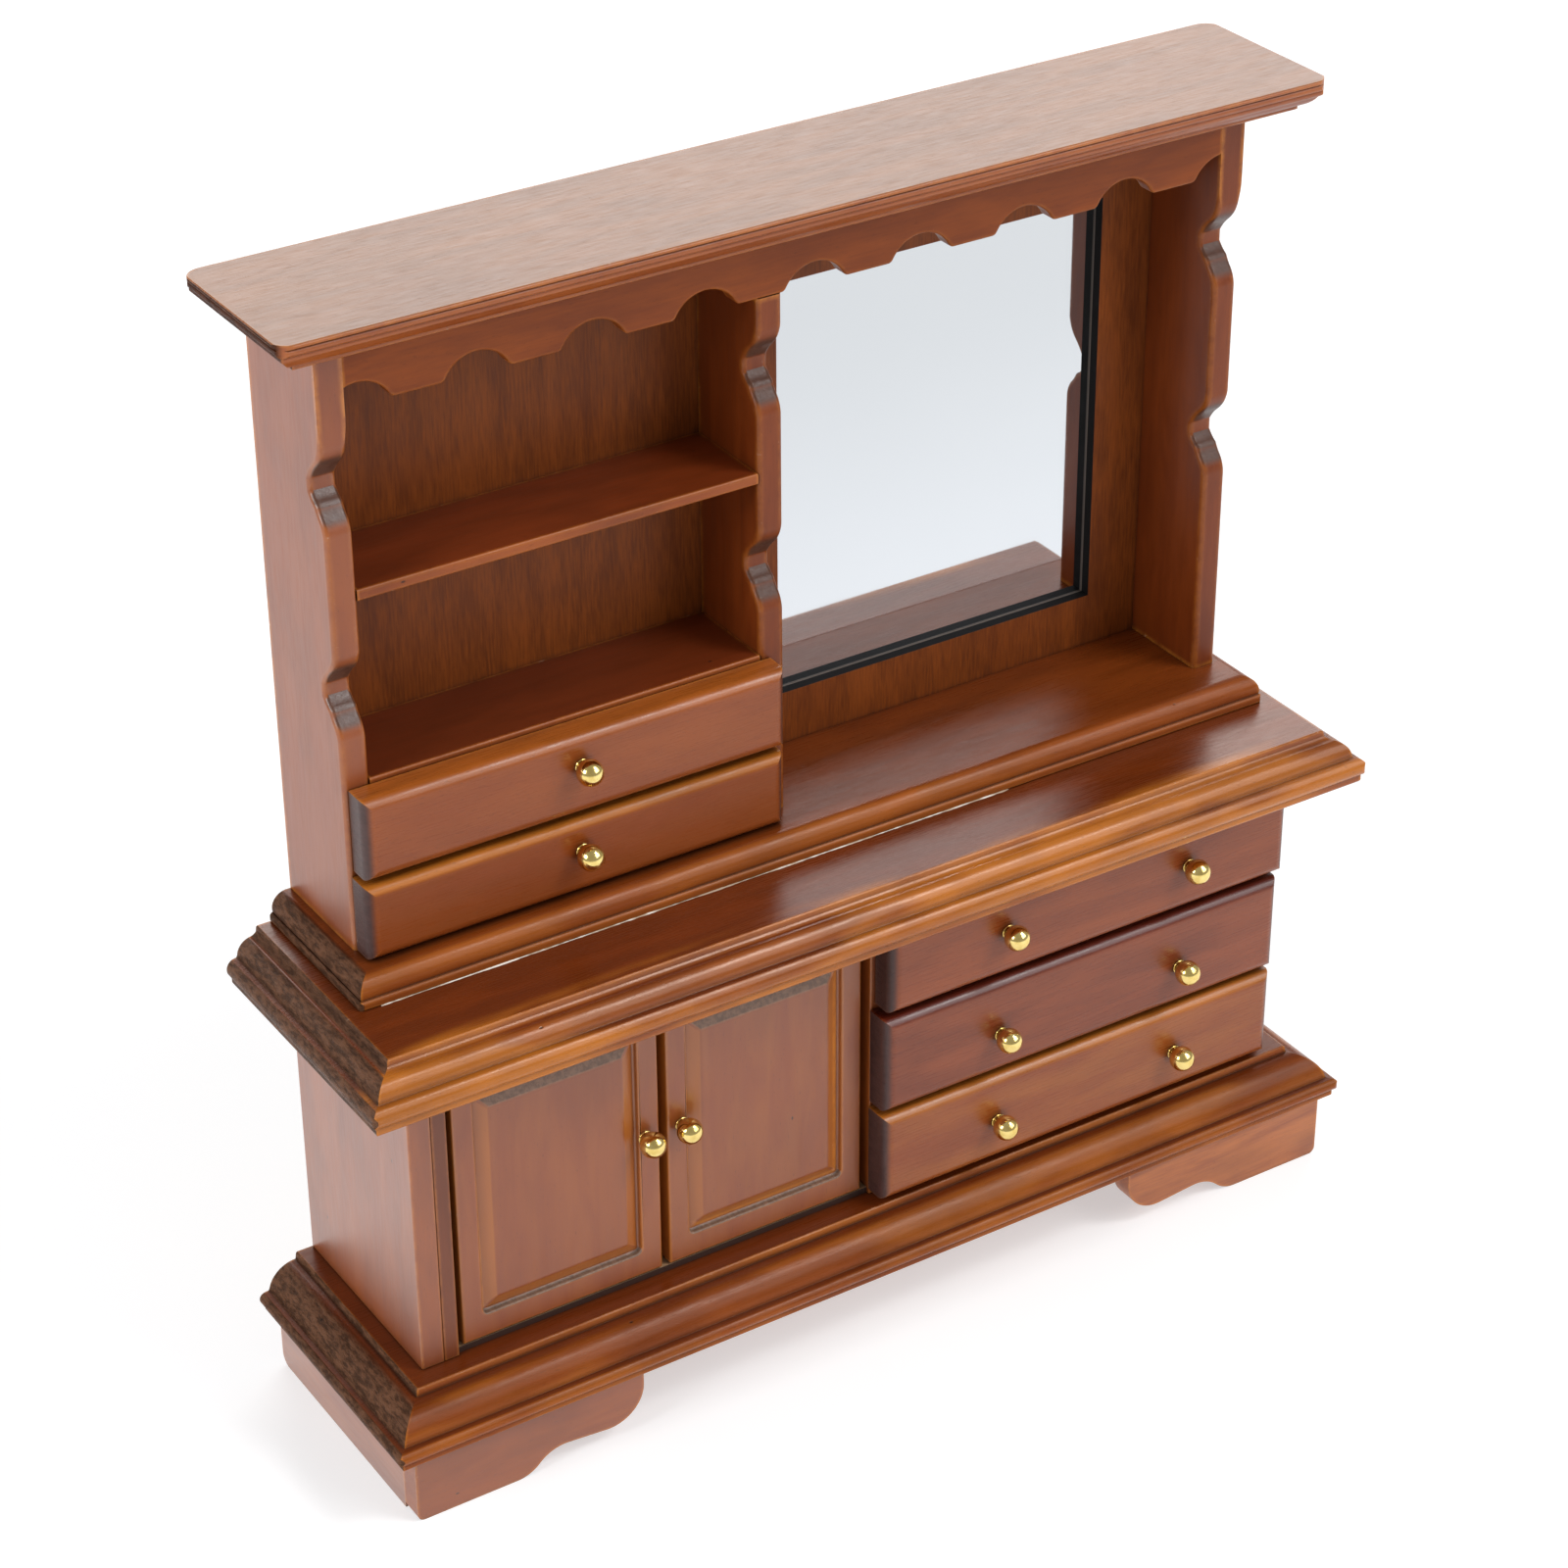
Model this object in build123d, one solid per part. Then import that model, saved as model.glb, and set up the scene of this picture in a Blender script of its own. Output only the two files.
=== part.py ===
from build123d import *
import os
from math import cos, radians, sin, sqrt

# A dolls-house dresser at one-twelfth scale: a low case with a pair of doors and three drawers,
# a moulded worktop, and a hutch above it with open shelves, two small drawers and a mirror.
# Millimetres. X runs left to right, +Z is up, and the front faces -Y. The origin is at floor
# level, in the middle of the footprint.

# ---- driving dimensions ----
WIDTH = 160.0            # worktop, nose to nose
DEPTH = 41.8             # worktop, back to nose
HEIGHT = 167.0           # floor to the top of the cornice
FOOT_HEIGHT = 10.0       # floor to the underside of the base board
BASE_THICK = 8.0
CASE_HEIGHT = 46.9       # between the base board and the worktop
WORKTOP_THICK = 7.9
RISER_THICK = 4.1
CORNICE_THICK = 4.7

BASE_HALF, BASE_DEPTH = 79.6, 41.7
FOOT_HALF, FOOT_DEPTH = 76.8, 40.3
CASE_HALF, CASE_DEPTH = 71.0, 32.5
RISER_HALF, RISER_DEPTH = 73.2, 25.8
HUTCH_HALF, HUTCH_DEPTH = 69.9, 18.4
CORNICE_HALF, CORNICE_DEPTH = 77.9, 26.3

# ---- levels worked out from them ----
BACK = DEPTH / 2
BASE_TOP = FOOT_HEIGHT + BASE_THICK
WORKTOP_LOW = BASE_TOP + CASE_HEIGHT
WORKTOP_TOP = WORKTOP_LOW + WORKTOP_THICK
RISER_TOP = WORKTOP_TOP + RISER_THICK
HUTCH_TOP = HEIGHT - CORNICE_THICK

# ---- boards ----
SIDE_THICK = 3.4         # lower case sides and divider
UPRIGHT_THICK = 3.8
FLOOR_THICK = 1.0        # thin boards inside the case, on the base board
FLOOR_RECESS = 0.6       # their front edges, behind the case's face
STILE_DEEP = 3.5
DUST_THICK = 1.5         # boards between the drawers
SHELF_THICK = 1.6
SKIRT_THICK = 3.6
SKIRT_ROUND = 1.8        # rear bottom corner of each side skirt
BACK_THICK = 1.6
BACK_INSET = 0.6
PANEL_THICK = 1.8        # hutch back panel
GLASS_THICK = 1.3
BACKING_THICK = 0.4
MIRROR_REBATE = 0.2      # air behind the mirror's backing
APRON_THICK = 2.5
SOFT = 0.35              # sanded arrises

PANEL_REAR = MIRROR_REBATE + BACKING_THICK + GLASS_THICK
PANEL_FRONT = PANEL_REAR + PANEL_THICK
CASE_INNER = CASE_HALF - SIDE_THICK
HUTCH_INNER = HUTCH_HALF - UPRIGHT_THICK
CASE_FLOOR_TOP = BASE_TOP + FLOOR_THICK
DIVIDER_LEFT = 0.8
DIVIDER_RIGHT = DIVIDER_LEFT + SIDE_THICK
STILE_RIGHT = -65.3
MIDDLE_LEFT = -7.8
MIDDLE_RIGHT = MIDDLE_LEFT + UPRIGHT_THICK

# ---- hutch ----
SHELF_TOP = 128.6
DRAWER_CASE_TOP = 101.7
NOTCH_LEVELS = (114.8, 143.4)
NOTCH_DEPTH = 3.6
APRON_LOW = 153.1
ARCH_PITCH = 16.35
ARCH_PHASE = 1.1
ARCH_HALF = 5.15
ARCH_TURN = 61.1         # degrees each arch arc turns before it reverses
ARCH_TOP_RADIUS = 5.0
ARCH_FOOT_RADIUS = ARCH_HALF / sin(radians(ARCH_TURN)) - ARCH_TOP_RADIUS
WINDOW_LEFT, WINDOW_RIGHT = 4.4, 57.7
WINDOW_LOW, WINDOW_HIGH = 84.9, 146.8
MIRROR_LAP = 3.0

# ---- doors ----
DOOR_THICK = 3.2
DOOR_RECESS = 0.3        # door faces sit this far behind the stile's face
DOOR_LOW = CASE_FLOOR_TOP + 0.3
DOOR_HIGH = WORKTOP_LOW - 0.4
DOOR_SPANS = {"left_door": (-64.4, -33.2), "right_door": (-31.9, -0.5)}
PIN_INSET = 1.0          # pin axis from the door's outer edge
PIN_BEHIND_FACE = 1.3
PIN_RADIUS = 0.45
PIN_CLEARANCE = 0.05
PIN_LENGTH = 1.6         # what stands out of the door, and what is set into it
GROOVE_SIDE, GROOVE_LOW, GROOVE_HIGH = 3.2, 3.7, 6.0
GROOVE_DEPTH = 0.9
GROOVE_FLAT = 0.35
GROOVE_SLOPE = 1.95
DOOR_KNOB_FROM_GAP = 2.9
DOOR_KNOB_LEVEL = 42.2

# ---- drawers ----
FRONT_THICK = 4.1
FRONT_ROUND = 1.6
FRONT_GAP = 0.15         # between a closed front and the case
BOX_SIDE = 1.5
BOX_FLOOR = 1.0
SLIDE_GAP = 0.25
HEAD_GAP = 0.5
LOWER_KNOB_SPREAD = 15.7
LOWER_KNOB_SHIFT = 0.8     # the pair of knobs sits this far right of the middle of its front

# name: (bottom and top of the front, sideways drift of the front, level of its knobs)
LOWER_DRAWERS = {
    "low_drawer": (19.3, 33.5, -1.0, 26.0),
    "middle_drawer": (34.4, 49.7, -0.8, 40.9),
    "top_drawer": (50.6, 64.5, 0.0, 57.8),
}
LOWER_FRONT = (1.5, 70.1)
HUTCH_DRAWERS = {
    "hutch_low_drawer": (77.2, 88.2, -0.3, 83.7),
    "hutch_top_drawer": (89.1, 101.0, 0.0, 96.5),
}
HUTCH_FRONT = (-69.3, -6.3)

# ---- brass knobs ----
BALL_RADIUS = 1.85
NECK_RADIUS = 0.75
NECK_LENGTH = 0.12
COLLAR_RADIUS = 1.0
COLLAR_THICK = 0.3
SHANK_RADIUS = 0.45
SHANK_LENGTH = 2.4

# Edge mouldings, from the underside up: (inset from the nose, height). A pair of points is an
# arc through the first to the second; a single point is a straight run.
BASE_MOULDING = [
    (1.2, 0.0),
    ((0.85, 0.1), (0.75, 0.4)),
    (0.75, 1.1),
    (0.55, 1.25),
    ((0.0, 2.2), (0.75, 3.1)),
    (1.45, 3.2),
    (1.6, 3.5),
    ((3.1, 5.9), (5.9, 6.9)),
    (6.05, 7.85),
    (6.25, BASE_THICK),
]
WORKTOP_MOULDING = [
    (1.3, 0.0),
    ((0.75, 0.2), (0.6, 0.7)),
    (0.6, 1.3),
    (0.4, 1.45),
    ((0.0, 2.7), (0.8, 3.9)),
    (1.5, 4.05),
    (1.65, 4.35),
    ((2.35, 5.85), (3.5, 6.5)),
    ((4.1, 6.65), (4.6, 7.05)),
    (4.7, 7.75),
    (4.9, WORKTOP_THICK),
]
RISER_MOULDING = [
    (0.15, 0.0),
    (0.0, 0.15),
    (0.0, 0.75),
    ((0.12, 1.1), (0.45, 1.3)),
    ((0.75, 3.05), (2.5, RISER_THICK)),
]
CORNICE_MOULDING = [
    (3.3, 0.0),
    (3.1, 0.15),
    (3.1, 0.6),
    ((2.05, 1.1), (1.25, 2.0)),
    (1.1, 2.15),
    ((0.72, 2.55), (0.76, 3.0)),
    ((0.28, 3.5), (0.5, 3.98)),
    (0.5, 4.08),
    (0.15, 4.14),
    ((0.03, 4.45), (0.4, CORNICE_THICK)),
]


def board(x0, x1, rear, front, z0, z1):
    """A square-edged board; rear and front are distances forward of the back plane."""
    corner = Pos(x0, BACK - front, z0)
    return corner * Box(x1 - x0, front - rear, z1 - z0, align=(Align.MIN, Align.MIN, Align.MIN))


def chain(steps, place):
    """The edges of an outline given as straight runs and arcs, set in space by place."""
    edges = []
    here = steps[0]
    for step in steps[1:]:
        if isinstance(step[0], tuple):
            through, end = step
            edges.append(ThreePointArc(place(*here), place(*through), place(*end)))
        else:
            end = step
            edges.append(Line(place(*here), place(*end)))
        here = end
    return edges


def ends(steps):
    last = steps[-1]
    return steps[0], last[1] if isinstance(last[0], tuple) else last


def moulded_board(half, front, z0, steps, corner_radius, round_rear=False):
    """A board with one moulding run round its front and both ends, mitred at the corners."""
    first, last = ends(steps)

    def right(inset, height):
        return (half - inset, BACK, z0 + height)

    def left(inset, height):
        return (inset - half, BACK, z0 + height)

    def nose(inset, height):
        return (-half, BACK - front + inset, z0 + height)

    across = chain(steps, right) + chain(steps, left)
    across += [Line(right(*first), left(*first)), Line(right(*last), left(*last))]
    along = chain(steps, nose)
    foot, head = (-half, BACK, z0 + first[1]), (-half, BACK, z0 + last[1])
    along += [Line(nose(*first), foot), Line(foot, head), Line(head, nose(*last))]
    solid = extrude(make_face(across), front, dir=(0, -1, 0))
    solid &= extrude(make_face(along), 2 * half, dir=(1, 0, 0))
    plan = board(-half, half, 0, front, z0, z0 + last[1])
    corners = plan.edges() if round_rear else front_edges(plan)
    return solid & fillet(corners.filter_by(Axis.Z), corner_radius)


def front_edges(solid):
    return solid.faces().sort_by(Axis.Y)[0].edges()


# ---- plinth ----
def bracket_foot(side):
    """A front foot: flat on the floor at the corner, stepped up by an ogee, rounded at its end."""
    outer, step, lobe, inner = FOOT_HALF, 61.6, 47.2, 41.4
    outline = [
        (outer, FOOT_HEIGHT),
        (outer, 1.0),
        ((outer - 0.3, 0.3), (outer - 1.0, 0.0)),
        (step, 0.0),
        ((step - 2.1, 0.45), (step - 3.6, 1.5)),
        ((step - 5.2, 2.6), (step - 8.0, 3.1)),
        (lobe, 2.5),
        ((inner + 1.6, 4.1), (inner, 8.0)),
        (inner, FOOT_HEIGHT),
        (outer, FOOT_HEIGHT),
    ]

    def place(x, z):
        return (side * x, BACK - FOOT_DEPTH, z)

    face = make_face(chain(outline, place))
    return extrude(face, SKIRT_THICK, dir=(0, 1, 0))


def make_plinth():
    base = moulded_board(BASE_HALF, BASE_DEPTH, FOOT_HEIGHT, BASE_MOULDING, corner_radius=0.9)
    parts = {"base_board": base - pin_sockets()}
    for name, side in (("left", -1), ("right", 1)):
        parts[f"front_{name}_foot"] = bracket_foot(side)
        x0, x1 = sorted((side * FOOT_HALF, side * (FOOT_HALF - SKIRT_THICK)))
        skirt = board(x0, x1, 0, FOOT_DEPTH - SKIRT_THICK, 0, FOOT_HEIGHT)
        rear_corner = skirt.edges().filter_by(Axis.X).group_by(Axis.Z)[0].sort_by(Axis.Y)[-1]
        parts[f"{name}_skirt"] = fillet(rear_corner, SKIRT_ROUND)
    return parts


# ---- lower case ----
def make_case():
    z0, z1 = BASE_TOP, WORKTOP_LOW
    rear = BACK_INSET + BACK_THICK
    floor_front = CASE_DEPTH - FLOOR_RECESS
    stile = board(-CASE_INNER, STILE_RIGHT, CASE_DEPTH - STILE_DEEP, CASE_DEPTH, z0, z1)
    cupboard_floor = board(-CASE_INNER, DIVIDER_LEFT, rear, floor_front, z0, CASE_FLOOR_TOP) - stile
    parts = {
        "left_side": board(-CASE_HALF, -CASE_INNER, 0, CASE_DEPTH, z0, z1),
        "right_side": board(CASE_INNER, CASE_HALF, 0, CASE_DEPTH, z0, z1),
        "left_stile": stile,
        "case_divider": board(DIVIDER_LEFT, DIVIDER_RIGHT, rear, CASE_DEPTH, z0, z1),
        "case_back": board(-CASE_INNER, CASE_INNER, BACK_INSET, rear, z0, z1),
        "cupboard_floor": cupboard_floor - pin_sockets(),
        "drawer_bay_floor": board(DIVIDER_RIGHT, CASE_INNER, rear, floor_front, z0, CASE_FLOOR_TOP),
    }
    for name, level in dust_levels().items():
        low, high = level - DUST_THICK / 2, level + DUST_THICK / 2
        parts[name] = board(DIVIDER_RIGHT, CASE_INNER, rear, CASE_DEPTH, low, high)
    return parts


def dust_levels():
    low, middle, top = LOWER_DRAWERS.values()
    return {"lower_dust_board": (low[1] + middle[0]) / 2, "upper_dust_board": (middle[1] + top[0]) / 2}


# ---- worktop and riser ----
def make_worktop():
    slab = moulded_board(WIDTH / 2, DEPTH, WORKTOP_LOW, WORKTOP_MOULDING, corner_radius=0.8)
    riser = moulded_board(RISER_HALF, RISER_DEPTH, WORKTOP_TOP, RISER_MOULDING, corner_radius=0.8)
    return {"worktop": slab - pin_sockets(), "riser_board": riser}


# ---- hutch ----
def notch(level):
    """One scroll-cut notch, from below: swell, ledge, upright wall, and a long slope back out."""
    n = NOTCH_DEPTH
    return [
        (0.0, level - 7.0),
        ((0.3, level - 5.8), (0.95, level - 4.7)),
        ((1.6, level - 3.9), (2.05, level - 3.1)),
        ((2.95, level - 2.45), (n, level - 1.7)),
        (n, level - 0.2),
        ((2.75, level + 1.1), (1.7, level + 2.2)),
        ((0.5, level + 3.8), (0.0, level + 5.4)),
    ]


def upright(x0, rear=0.0):
    """A shelf end whose front edge has two scroll-cut notches between straight runs."""
    outline = [(rear, RISER_TOP), (HUTCH_DEPTH, RISER_TOP)]
    for level in NOTCH_LEVELS:
        for step in notch(level):
            if isinstance(step[0], tuple):
                outline.append(tuple((HUTCH_DEPTH - inset, z) for inset, z in step))
            else:
                outline.append((HUTCH_DEPTH - step[0], step[1]))
    outline += [(HUTCH_DEPTH, HUTCH_TOP), (rear, HUTCH_TOP), (rear, RISER_TOP)]

    def place(forward, z):
        return (x0, BACK - forward, z)

    return extrude(make_face(chain(outline, place)), UPRIGHT_THICK, dir=(1, 0, 0))


def arch_cutter(centre):
    """One arch of the apron: a round head between two small reversed shoulders."""
    turn, half = radians(ARCH_TURN), ARCH_HALF
    top, foot = ARCH_TOP_RADIUS, ARCH_FOOT_RADIUS
    rise = (top + foot) * (1 - cos(turn))
    join = (top * sin(turn), rise - top * (1 - cos(turn)))
    shoulder = (half - foot * sin(turn / 2), foot * (1 - cos(turn / 2)))
    below = -1.0
    outline = [
        (-half, below),
        (-half, 0.0),
        ((-shoulder[0], shoulder[1]), (-join[0], join[1])),
        ((0.0, rise), join),
        (shoulder, (half, 0.0)),
        (half, below),
        (-half, below),
    ]

    def place(x, z):
        return (centre + x, BACK - HUTCH_DEPTH, APRON_LOW + z)

    return extrude(make_face(chain(outline, place)), APRON_THICK, dir=(0, 1, 0))


def make_apron():
    rear = HUTCH_DEPTH - APRON_THICK
    apron = board(-HUTCH_INNER, HUTCH_INNER, rear, HUTCH_DEPTH, APRON_LOW, HUTCH_TOP)
    for k in range(-4, 5):
        apron -= arch_cutter(ARCH_PHASE + k * ARCH_PITCH)
    lower = [e for e in front_edges(apron) if e.center().Z < HUTCH_TOP - 1 and e.length > 0.5]
    scallop = [e for e in lower if abs(e.tangent_at(0.5).Z) < 0.999]
    return fillet(scallop, SOFT)


def make_hutch():
    cornice = moulded_board(
        CORNICE_HALF, CORNICE_DEPTH, HUTCH_TOP, CORNICE_MOULDING, corner_radius=2.6, round_rear=True
    )
    panel = board(-HUTCH_INNER, HUTCH_INNER, PANEL_REAR, PANEL_FRONT, RISER_TOP, HUTCH_TOP)
    panel -= board(WINDOW_LEFT, WINDOW_RIGHT, PANEL_REAR, PANEL_FRONT, WINDOW_LOW, WINDOW_HIGH)
    glass_x = (WINDOW_LEFT - MIRROR_LAP, WINDOW_RIGHT + MIRROR_LAP)
    glass_z = (WINDOW_LOW - MIRROR_LAP, WINDOW_HIGH + MIRROR_LAP)
    backing_front = MIRROR_REBATE + BACKING_THICK
    bay = (-HUTCH_INNER, MIDDLE_LEFT)
    apron_back = HUTCH_DEPTH - APRON_THICK
    housing = board(MIDDLE_LEFT, MIDDLE_RIGHT, apron_back, HUTCH_DEPTH, APRON_LOW, HUTCH_TOP)
    dust = sum(hutch_dust()) / 2
    shelves = {
        "bay_shelf": (SHELF_TOP - SHELF_THICK, SHELF_TOP),
        "drawer_case_top": (DRAWER_CASE_TOP - SHELF_THICK, DRAWER_CASE_TOP),
        "hutch_dust_board": (dust - DUST_THICK / 2, dust + DUST_THICK / 2),
    }
    parts = {
        "cornice": cornice,
        "left_upright": upright(-HUTCH_HALF),
        "middle_upright": upright(MIDDLE_LEFT, rear=PANEL_FRONT) - housing,
        "right_upright": upright(HUTCH_INNER),
        "apron": make_apron(),
        "hutch_back_panel": panel,
        "mirror_glass": board(*glass_x, backing_front, PANEL_REAR, *glass_z),
        "mirror_backing": board(*glass_x, MIRROR_REBATE, backing_front, *glass_z),
    }
    for name, (low, high) in shelves.items():
        plank = board(*bay, PANEL_FRONT, HUTCH_DEPTH, low, high)
        parts[name] = fillet(front_edges(plank).filter_by(Axis.X), SOFT)
    return parts


def hutch_dust():
    low, top = HUTCH_DRAWERS.values()
    return low[1], top[0]


# ---- doors ----
def pin_axes():
    """Each door's pin axis, in plan."""
    y = BACK - CASE_DEPTH + DOOR_RECESS + PIN_BEHIND_FACE
    left, right = DOOR_SPANS["left_door"], DOOR_SPANS["right_door"]
    return {"left_door": (left[0] + PIN_INSET, y), "right_door": (right[1] - PIN_INSET, y)}


def pin_sockets():
    """The holes that the door pins turn in, above and below both doors."""
    deep = PIN_LENGTH + 0.4
    radius = PIN_RADIUS + PIN_CLEARANCE
    holes = []
    for x, y in pin_axes().values():
        for end, step in ((DOOR_LOW, -1), (DOOR_HIGH, 1)):
            holes.append(Pos(x, y, end + step * deep / 2) * Cylinder(radius, deep))
    return Compound(holes)


def door_leaf(x0, x1, knob_x, pin):
    """A slab door with a routed groove round a raised field."""
    face = CASE_DEPTH - DOOR_RECESS
    leaf = board(x0, x1, face - DOOR_THICK, face, DOOR_LOW, DOOR_HIGH)
    leaf = fillet(front_edges(leaf), SOFT)
    gx0, gx1 = x0 + GROOVE_SIDE, x1 - GROOVE_SIDE
    gz0, gz1 = DOOR_LOW + GROOVE_LOW, DOOR_HIGH - GROOVE_HIGH
    recess = board(gx0, gx1, face - GROOVE_DEPTH, face, gz0, gz1)
    leaf -= fillet(recess.edges().filter_by(Axis.Y), 0.9)
    centre = Vector((gx0 + gx1) / 2, 0, (gz0 + gz1) / 2)
    layers = []
    for depth, inset in ((GROOVE_DEPTH, GROOVE_FLAT), (0.0, GROOVE_FLAT + GROOVE_SLOPE)):
        plane = Plane((centre.X, BACK - face + depth, centre.Z), x_dir=(1, 0, 0), z_dir=(0, -1, 0))
        layers.append(plane * Rectangle(gx1 - gx0 - 2 * inset, gz1 - gz0 - 2 * inset))
    leaf += loft(layers)
    for end in (DOOR_LOW, DOOR_HIGH):
        leaf -= Pos(pin[0], pin[1], end) * Cylinder(PIN_RADIUS, 2 * PIN_LENGTH)
    return leaf - shank_hole(knob_x, face, DOOR_KNOB_LEVEL)


def make_doors():
    parts = {}
    gap_centre = (DOOR_SPANS["left_door"][1] + DOOR_SPANS["right_door"][0]) / 2
    for name, side in (("left_door", -1), ("right_door", 1)):
        knob_x = gap_centre + side * DOOR_KNOB_FROM_GAP
        x, y = pin_axes()[name]
        parts[name] = door_leaf(*DOOR_SPANS[name], knob_x, (x, y))
        pins = [Pos(x, y, z) * Cylinder(PIN_RADIUS, 2 * PIN_LENGTH) for z in (DOOR_LOW, DOOR_HIGH)]
        parts[f"{name}_pins"] = Compound(pins)
        parts[f"{name}_knob"] = knob(knob_x, CASE_DEPTH - DOOR_RECESS, DOOR_KNOB_LEVEL)
    return parts


# ---- knobs ----
def knob(x, front, z):
    """A turned brass knob: a ball on a short neck and collar, with a shank into the wood."""
    ball_at = COLLAR_THICK + NECK_LENGTH + sqrt(BALL_RADIUS**2 - NECK_RADIUS**2)
    neck_top = COLLAR_THICK + NECK_LENGTH
    outline = [
        (0.0, -SHANK_LENGTH),
        (SHANK_RADIUS, -SHANK_LENGTH),
        (SHANK_RADIUS, 0.0),
        (COLLAR_RADIUS, 0.0),
        ((COLLAR_RADIUS + 0.12, COLLAR_THICK / 2), (COLLAR_RADIUS, COLLAR_THICK)),
        ((NECK_RADIUS + 0.08, COLLAR_THICK + 0.08), (NECK_RADIUS, neck_top)),
        ((BALL_RADIUS, ball_at), (0.0, ball_at + BALL_RADIUS)),
        (0.0, -SHANK_LENGTH),
    ]

    def place(radius, out):
        return (x + radius, BACK - front - out, z)

    face = make_face(chain(outline, place))
    return revolve(face, Axis((x, BACK - front, z), (0, 1, 0)))


def shank_hole(x, front, z):
    drill = Rot(90, 0, 0) * Cylinder(SHANK_RADIUS, 2 * SHANK_LENGTH)
    return Pos(x, BACK - front, z) * drill


# ---- drawers ----
def drawer(name, front_x, front_z, box_x, box_z, case_front, box_rear, knobs):
    """An overlay front with rounded edges on a plain box of sides, back and floor."""
    rear = case_front + FRONT_GAP
    face = rear + FRONT_THICK
    front = board(*front_x, rear, face, *front_z)
    front = fillet(front_edges(front), FRONT_ROUND)
    for x, z in knobs:
        front -= shank_hole(x, face, z)
    (x0, x1), (z0, z1) = box_x, box_z
    inner = (x0 + BOX_SIDE, x1 - BOX_SIDE)
    sides = [
        board(x0, inner[0], box_rear, rear, z0, z1),
        board(inner[1], x1, box_rear, rear, z0, z1),
    ]
    return {
        f"{name}_front": front,
        f"{name}_sides": Compound(sides),
        f"{name}_back": board(*inner, box_rear, box_rear + BOX_SIDE, z0, z1),
        f"{name}_floor": board(*inner, box_rear + BOX_SIDE, rear, z0, z0 + BOX_FLOOR),
        f"{name}_knobs": Compound([knob(x, face, z) for x, z in knobs]),
    }


def make_lower_drawers():
    lower, upper = dust_levels().values()
    half = DUST_THICK / 2
    bays = [(CASE_FLOOR_TOP, lower - half), (lower + half, upper - half), (upper + half, WORKTOP_LOW)]
    box_x = (DIVIDER_RIGHT + SLIDE_GAP, CASE_INNER - SLIDE_GAP)
    box_rear = BACK_INSET + BACK_THICK + SLIDE_GAP
    parts = {}
    for (name, (low, high, drift, level)), (z0, z1) in zip(LOWER_DRAWERS.items(), bays):
        front_x = (LOWER_FRONT[0] + drift, LOWER_FRONT[1] + drift)
        middle = sum(front_x) / 2 + LOWER_KNOB_SHIFT
        knobs = [(middle + side * LOWER_KNOB_SPREAD, level) for side in (-1, 1)]
        box_z = (z0 + SLIDE_GAP, z1 - HEAD_GAP)
        parts |= drawer(name, front_x, (low, high), box_x, box_z, CASE_DEPTH, box_rear, knobs)
    return parts


def make_hutch_drawers():
    dust = sum(hutch_dust()) / 2
    half = DUST_THICK / 2
    bays = [(RISER_TOP, dust - half), (dust + half, DRAWER_CASE_TOP - SHELF_THICK)]
    box_x = (-HUTCH_INNER + SLIDE_GAP, MIDDLE_LEFT - SLIDE_GAP)
    parts = {}
    for (name, (low, high, drift, level)), (z0, z1) in zip(HUTCH_DRAWERS.items(), bays):
        front_x = (HUTCH_FRONT[0] + drift, HUTCH_FRONT[1] + drift)
        knobs = [(sum(front_x) / 2, level)]
        box_z = (z0 + SLIDE_GAP, z1 - HEAD_GAP)
        box_rear = PANEL_FRONT + SLIDE_GAP
        parts |= drawer(name, front_x, (low, high), box_x, box_z, HUTCH_DEPTH, box_rear, knobs)
    return parts


parts = make_plinth() | make_case() | make_worktop() | make_hutch() | make_doors()
parts |= make_lower_drawers() | make_hutch_drawers()

os.makedirs("parts", exist_ok=True)
for node, shape in parts.items():
    export_step(shape, f"parts/{node}.step")
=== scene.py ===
import math

import bmesh
import bpy
from mathutils import Matrix, Vector, noise


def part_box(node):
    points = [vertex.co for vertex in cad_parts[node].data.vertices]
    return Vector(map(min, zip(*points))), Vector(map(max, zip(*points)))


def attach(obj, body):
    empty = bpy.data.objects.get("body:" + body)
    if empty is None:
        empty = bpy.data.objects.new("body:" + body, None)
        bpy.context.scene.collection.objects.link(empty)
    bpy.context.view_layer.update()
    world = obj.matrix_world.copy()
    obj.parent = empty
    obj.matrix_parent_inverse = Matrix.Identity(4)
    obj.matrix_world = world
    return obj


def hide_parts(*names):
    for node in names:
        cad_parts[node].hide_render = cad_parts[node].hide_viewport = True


# A dolls-house dresser in stained wood with brass knobs and a mirror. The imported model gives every
# board; this script gives them rounded arrises, finishes, a line of old glue, light and a camera.
# Metres, +Z up.

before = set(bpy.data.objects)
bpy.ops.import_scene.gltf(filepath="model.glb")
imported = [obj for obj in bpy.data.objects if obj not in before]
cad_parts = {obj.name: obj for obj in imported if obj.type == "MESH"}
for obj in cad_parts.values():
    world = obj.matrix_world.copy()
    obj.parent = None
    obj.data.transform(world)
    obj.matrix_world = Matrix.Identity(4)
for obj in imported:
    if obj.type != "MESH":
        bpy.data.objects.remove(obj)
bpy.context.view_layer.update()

MM = 0.001
ALONG_X, ALONG_Y, ALONG_Z = 0, 1, 2
SAME = (1, 1, 1)                # a texture that isn't stretched
WELD_DISTANCE = 1e-6            # metres, between corners that are one corner
FLAT_ANGLE = math.radians(0.5)  # faces closer than this are one flat face
CREASE = math.radians(35)       # edges sharper than this stay sharp

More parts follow.
